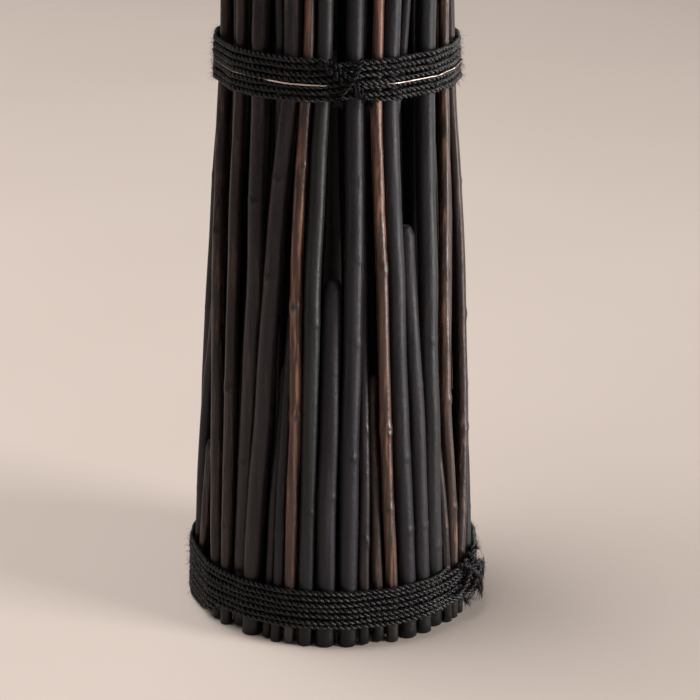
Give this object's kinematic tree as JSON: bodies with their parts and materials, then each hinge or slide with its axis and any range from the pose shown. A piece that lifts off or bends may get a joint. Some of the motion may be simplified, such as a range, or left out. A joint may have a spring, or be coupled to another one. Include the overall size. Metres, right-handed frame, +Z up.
{
  "type": "tiki torch",
  "caption": "Free-standing garden torch: flared bundle of dark willow rods bound with twisted cord round a post, with a lift-out fuel canister, wick and snuffer in its head.",
  "frame": {"origin": "on the floor, at the middle of the base disc's underside", "axes": "+Z up along the bundle; -Y is the front, where the waist knot is; +X to the right seen from the front"},
  "size_m": [0.2041, 0.2045, 1.2461],
  "materials": {
    "willow_charcoal": "charcoal stain, matt",
    "willow_brown": "natural bark, satin",
    "black_cord": "twisted, fuzzy",
    "copper_wire": "bright wire",
    "plywood": "sawn",
    "cast_iron": "raw",
    "black_steel": "satin black powder coat",
    "screw_steel": "zinc plated",
    "tin_steel": "tin plated",
    "gasket": "matt",
    "brass": "satin",
    "wick": "woven fibreglass, charred tip",
    "knob_wood": "turned, oiled"
  },
  "bodies": {
    "root": {"ballast_plate": "cast_iron", "base_disc": "plywood", "base_knot": "black_cord", "base_rope": "black_cord", "burner_cup": "black_steel", "core_post": "black_steel", "cup_screw": "screw_steel", "flange_screws": "screw_steel", "head_knot": "black_cord", "head_rope": "black_cord", "inner_rods": "willow_charcoal", "neck_disc": "plywood", "neck_knot": "black_cord", "neck_rope": "black_cord", "post_collars": "black_steel", "post_flange": "black_steel", "rod_01": "willow_brown", "rod_02": "willow_charcoal", "rod_03": "willow_brown", "rod_04": "willow_charcoal", "rod_05": "willow_charcoal", "rod_06": "willow_charcoal", "rod_07": "willow_brown", "rod_08": "willow_charcoal", "rod_09": "willow_charcoal", "rod_10": "willow_charcoal", "rod_11": "willow_brown", "rod_12": "willow_charcoal", "rod_13": "willow_charcoal", "rod_14": "willow_charcoal", "rod_15": "willow_brown", "rod_16": "willow_brown", "rod_17": "willow_brown", "rod_18": "willow_charcoal", "rod_19": "willow_brown", "rod_20": "willow_charcoal", "rod_21": "willow_brown", "rod_22": "willow_charcoal", "rod_23": "willow_charcoal", "rod_24": "willow_brown", "rod_25": "willow_charcoal", "rod_26": "willow_charcoal", "rod_27": "willow_brown", "rod_28": "willow_charcoal", "rod_29": "willow_charcoal", "rod_30": "willow_brown", "rod_31": "willow_charcoal", "short_rods": "willow_charcoal", "waist_disc": "plywood", "waist_knot": "black_cord", "waist_rope": "black_cord", "waist_wire": "copper_wire"},
    "canister": {"fuel_canister": "tin_steel"},
    "cap_seal": {"cap_gasket": "gasket"},
    "burner": {"burner_cap": "brass", "wick_tube": "brass"},
    "wick": {"wick": "wick"},
    "snuffer": {"snuffer_bell": "black_steel", "snuffer_knob": "knob_wood"}
  },
  "joints": [
    {"name": "canister_lift", "type": "slide", "parent": "root", "child": "canister", "axis": [0, 0, 1], "range_m": [0, 0.16]},
    {"name": "cap_lift", "type": "slide", "parent": "canister", "child": "cap_seal", "axis": [0, 0, 1], "range_m": [0, 0.12]},
    {"name": "cap_turn", "type": "hinge", "parent": "cap_seal", "child": "burner", "pos_m": [0, 0, 1.18], "axis": [0, 0, 1], "continuous": true},
    {"name": "wick_feed", "type": "slide", "parent": "burner", "child": "wick", "axis": [0, 0, 1], "range_m": [-0.01, 0.006]},
    {"name": "snuffer_lift", "type": "slide", "parent": "burner", "child": "snuffer", "axis": [0, 0, 1], "range_m": [0, 0.08]}
  ]
}
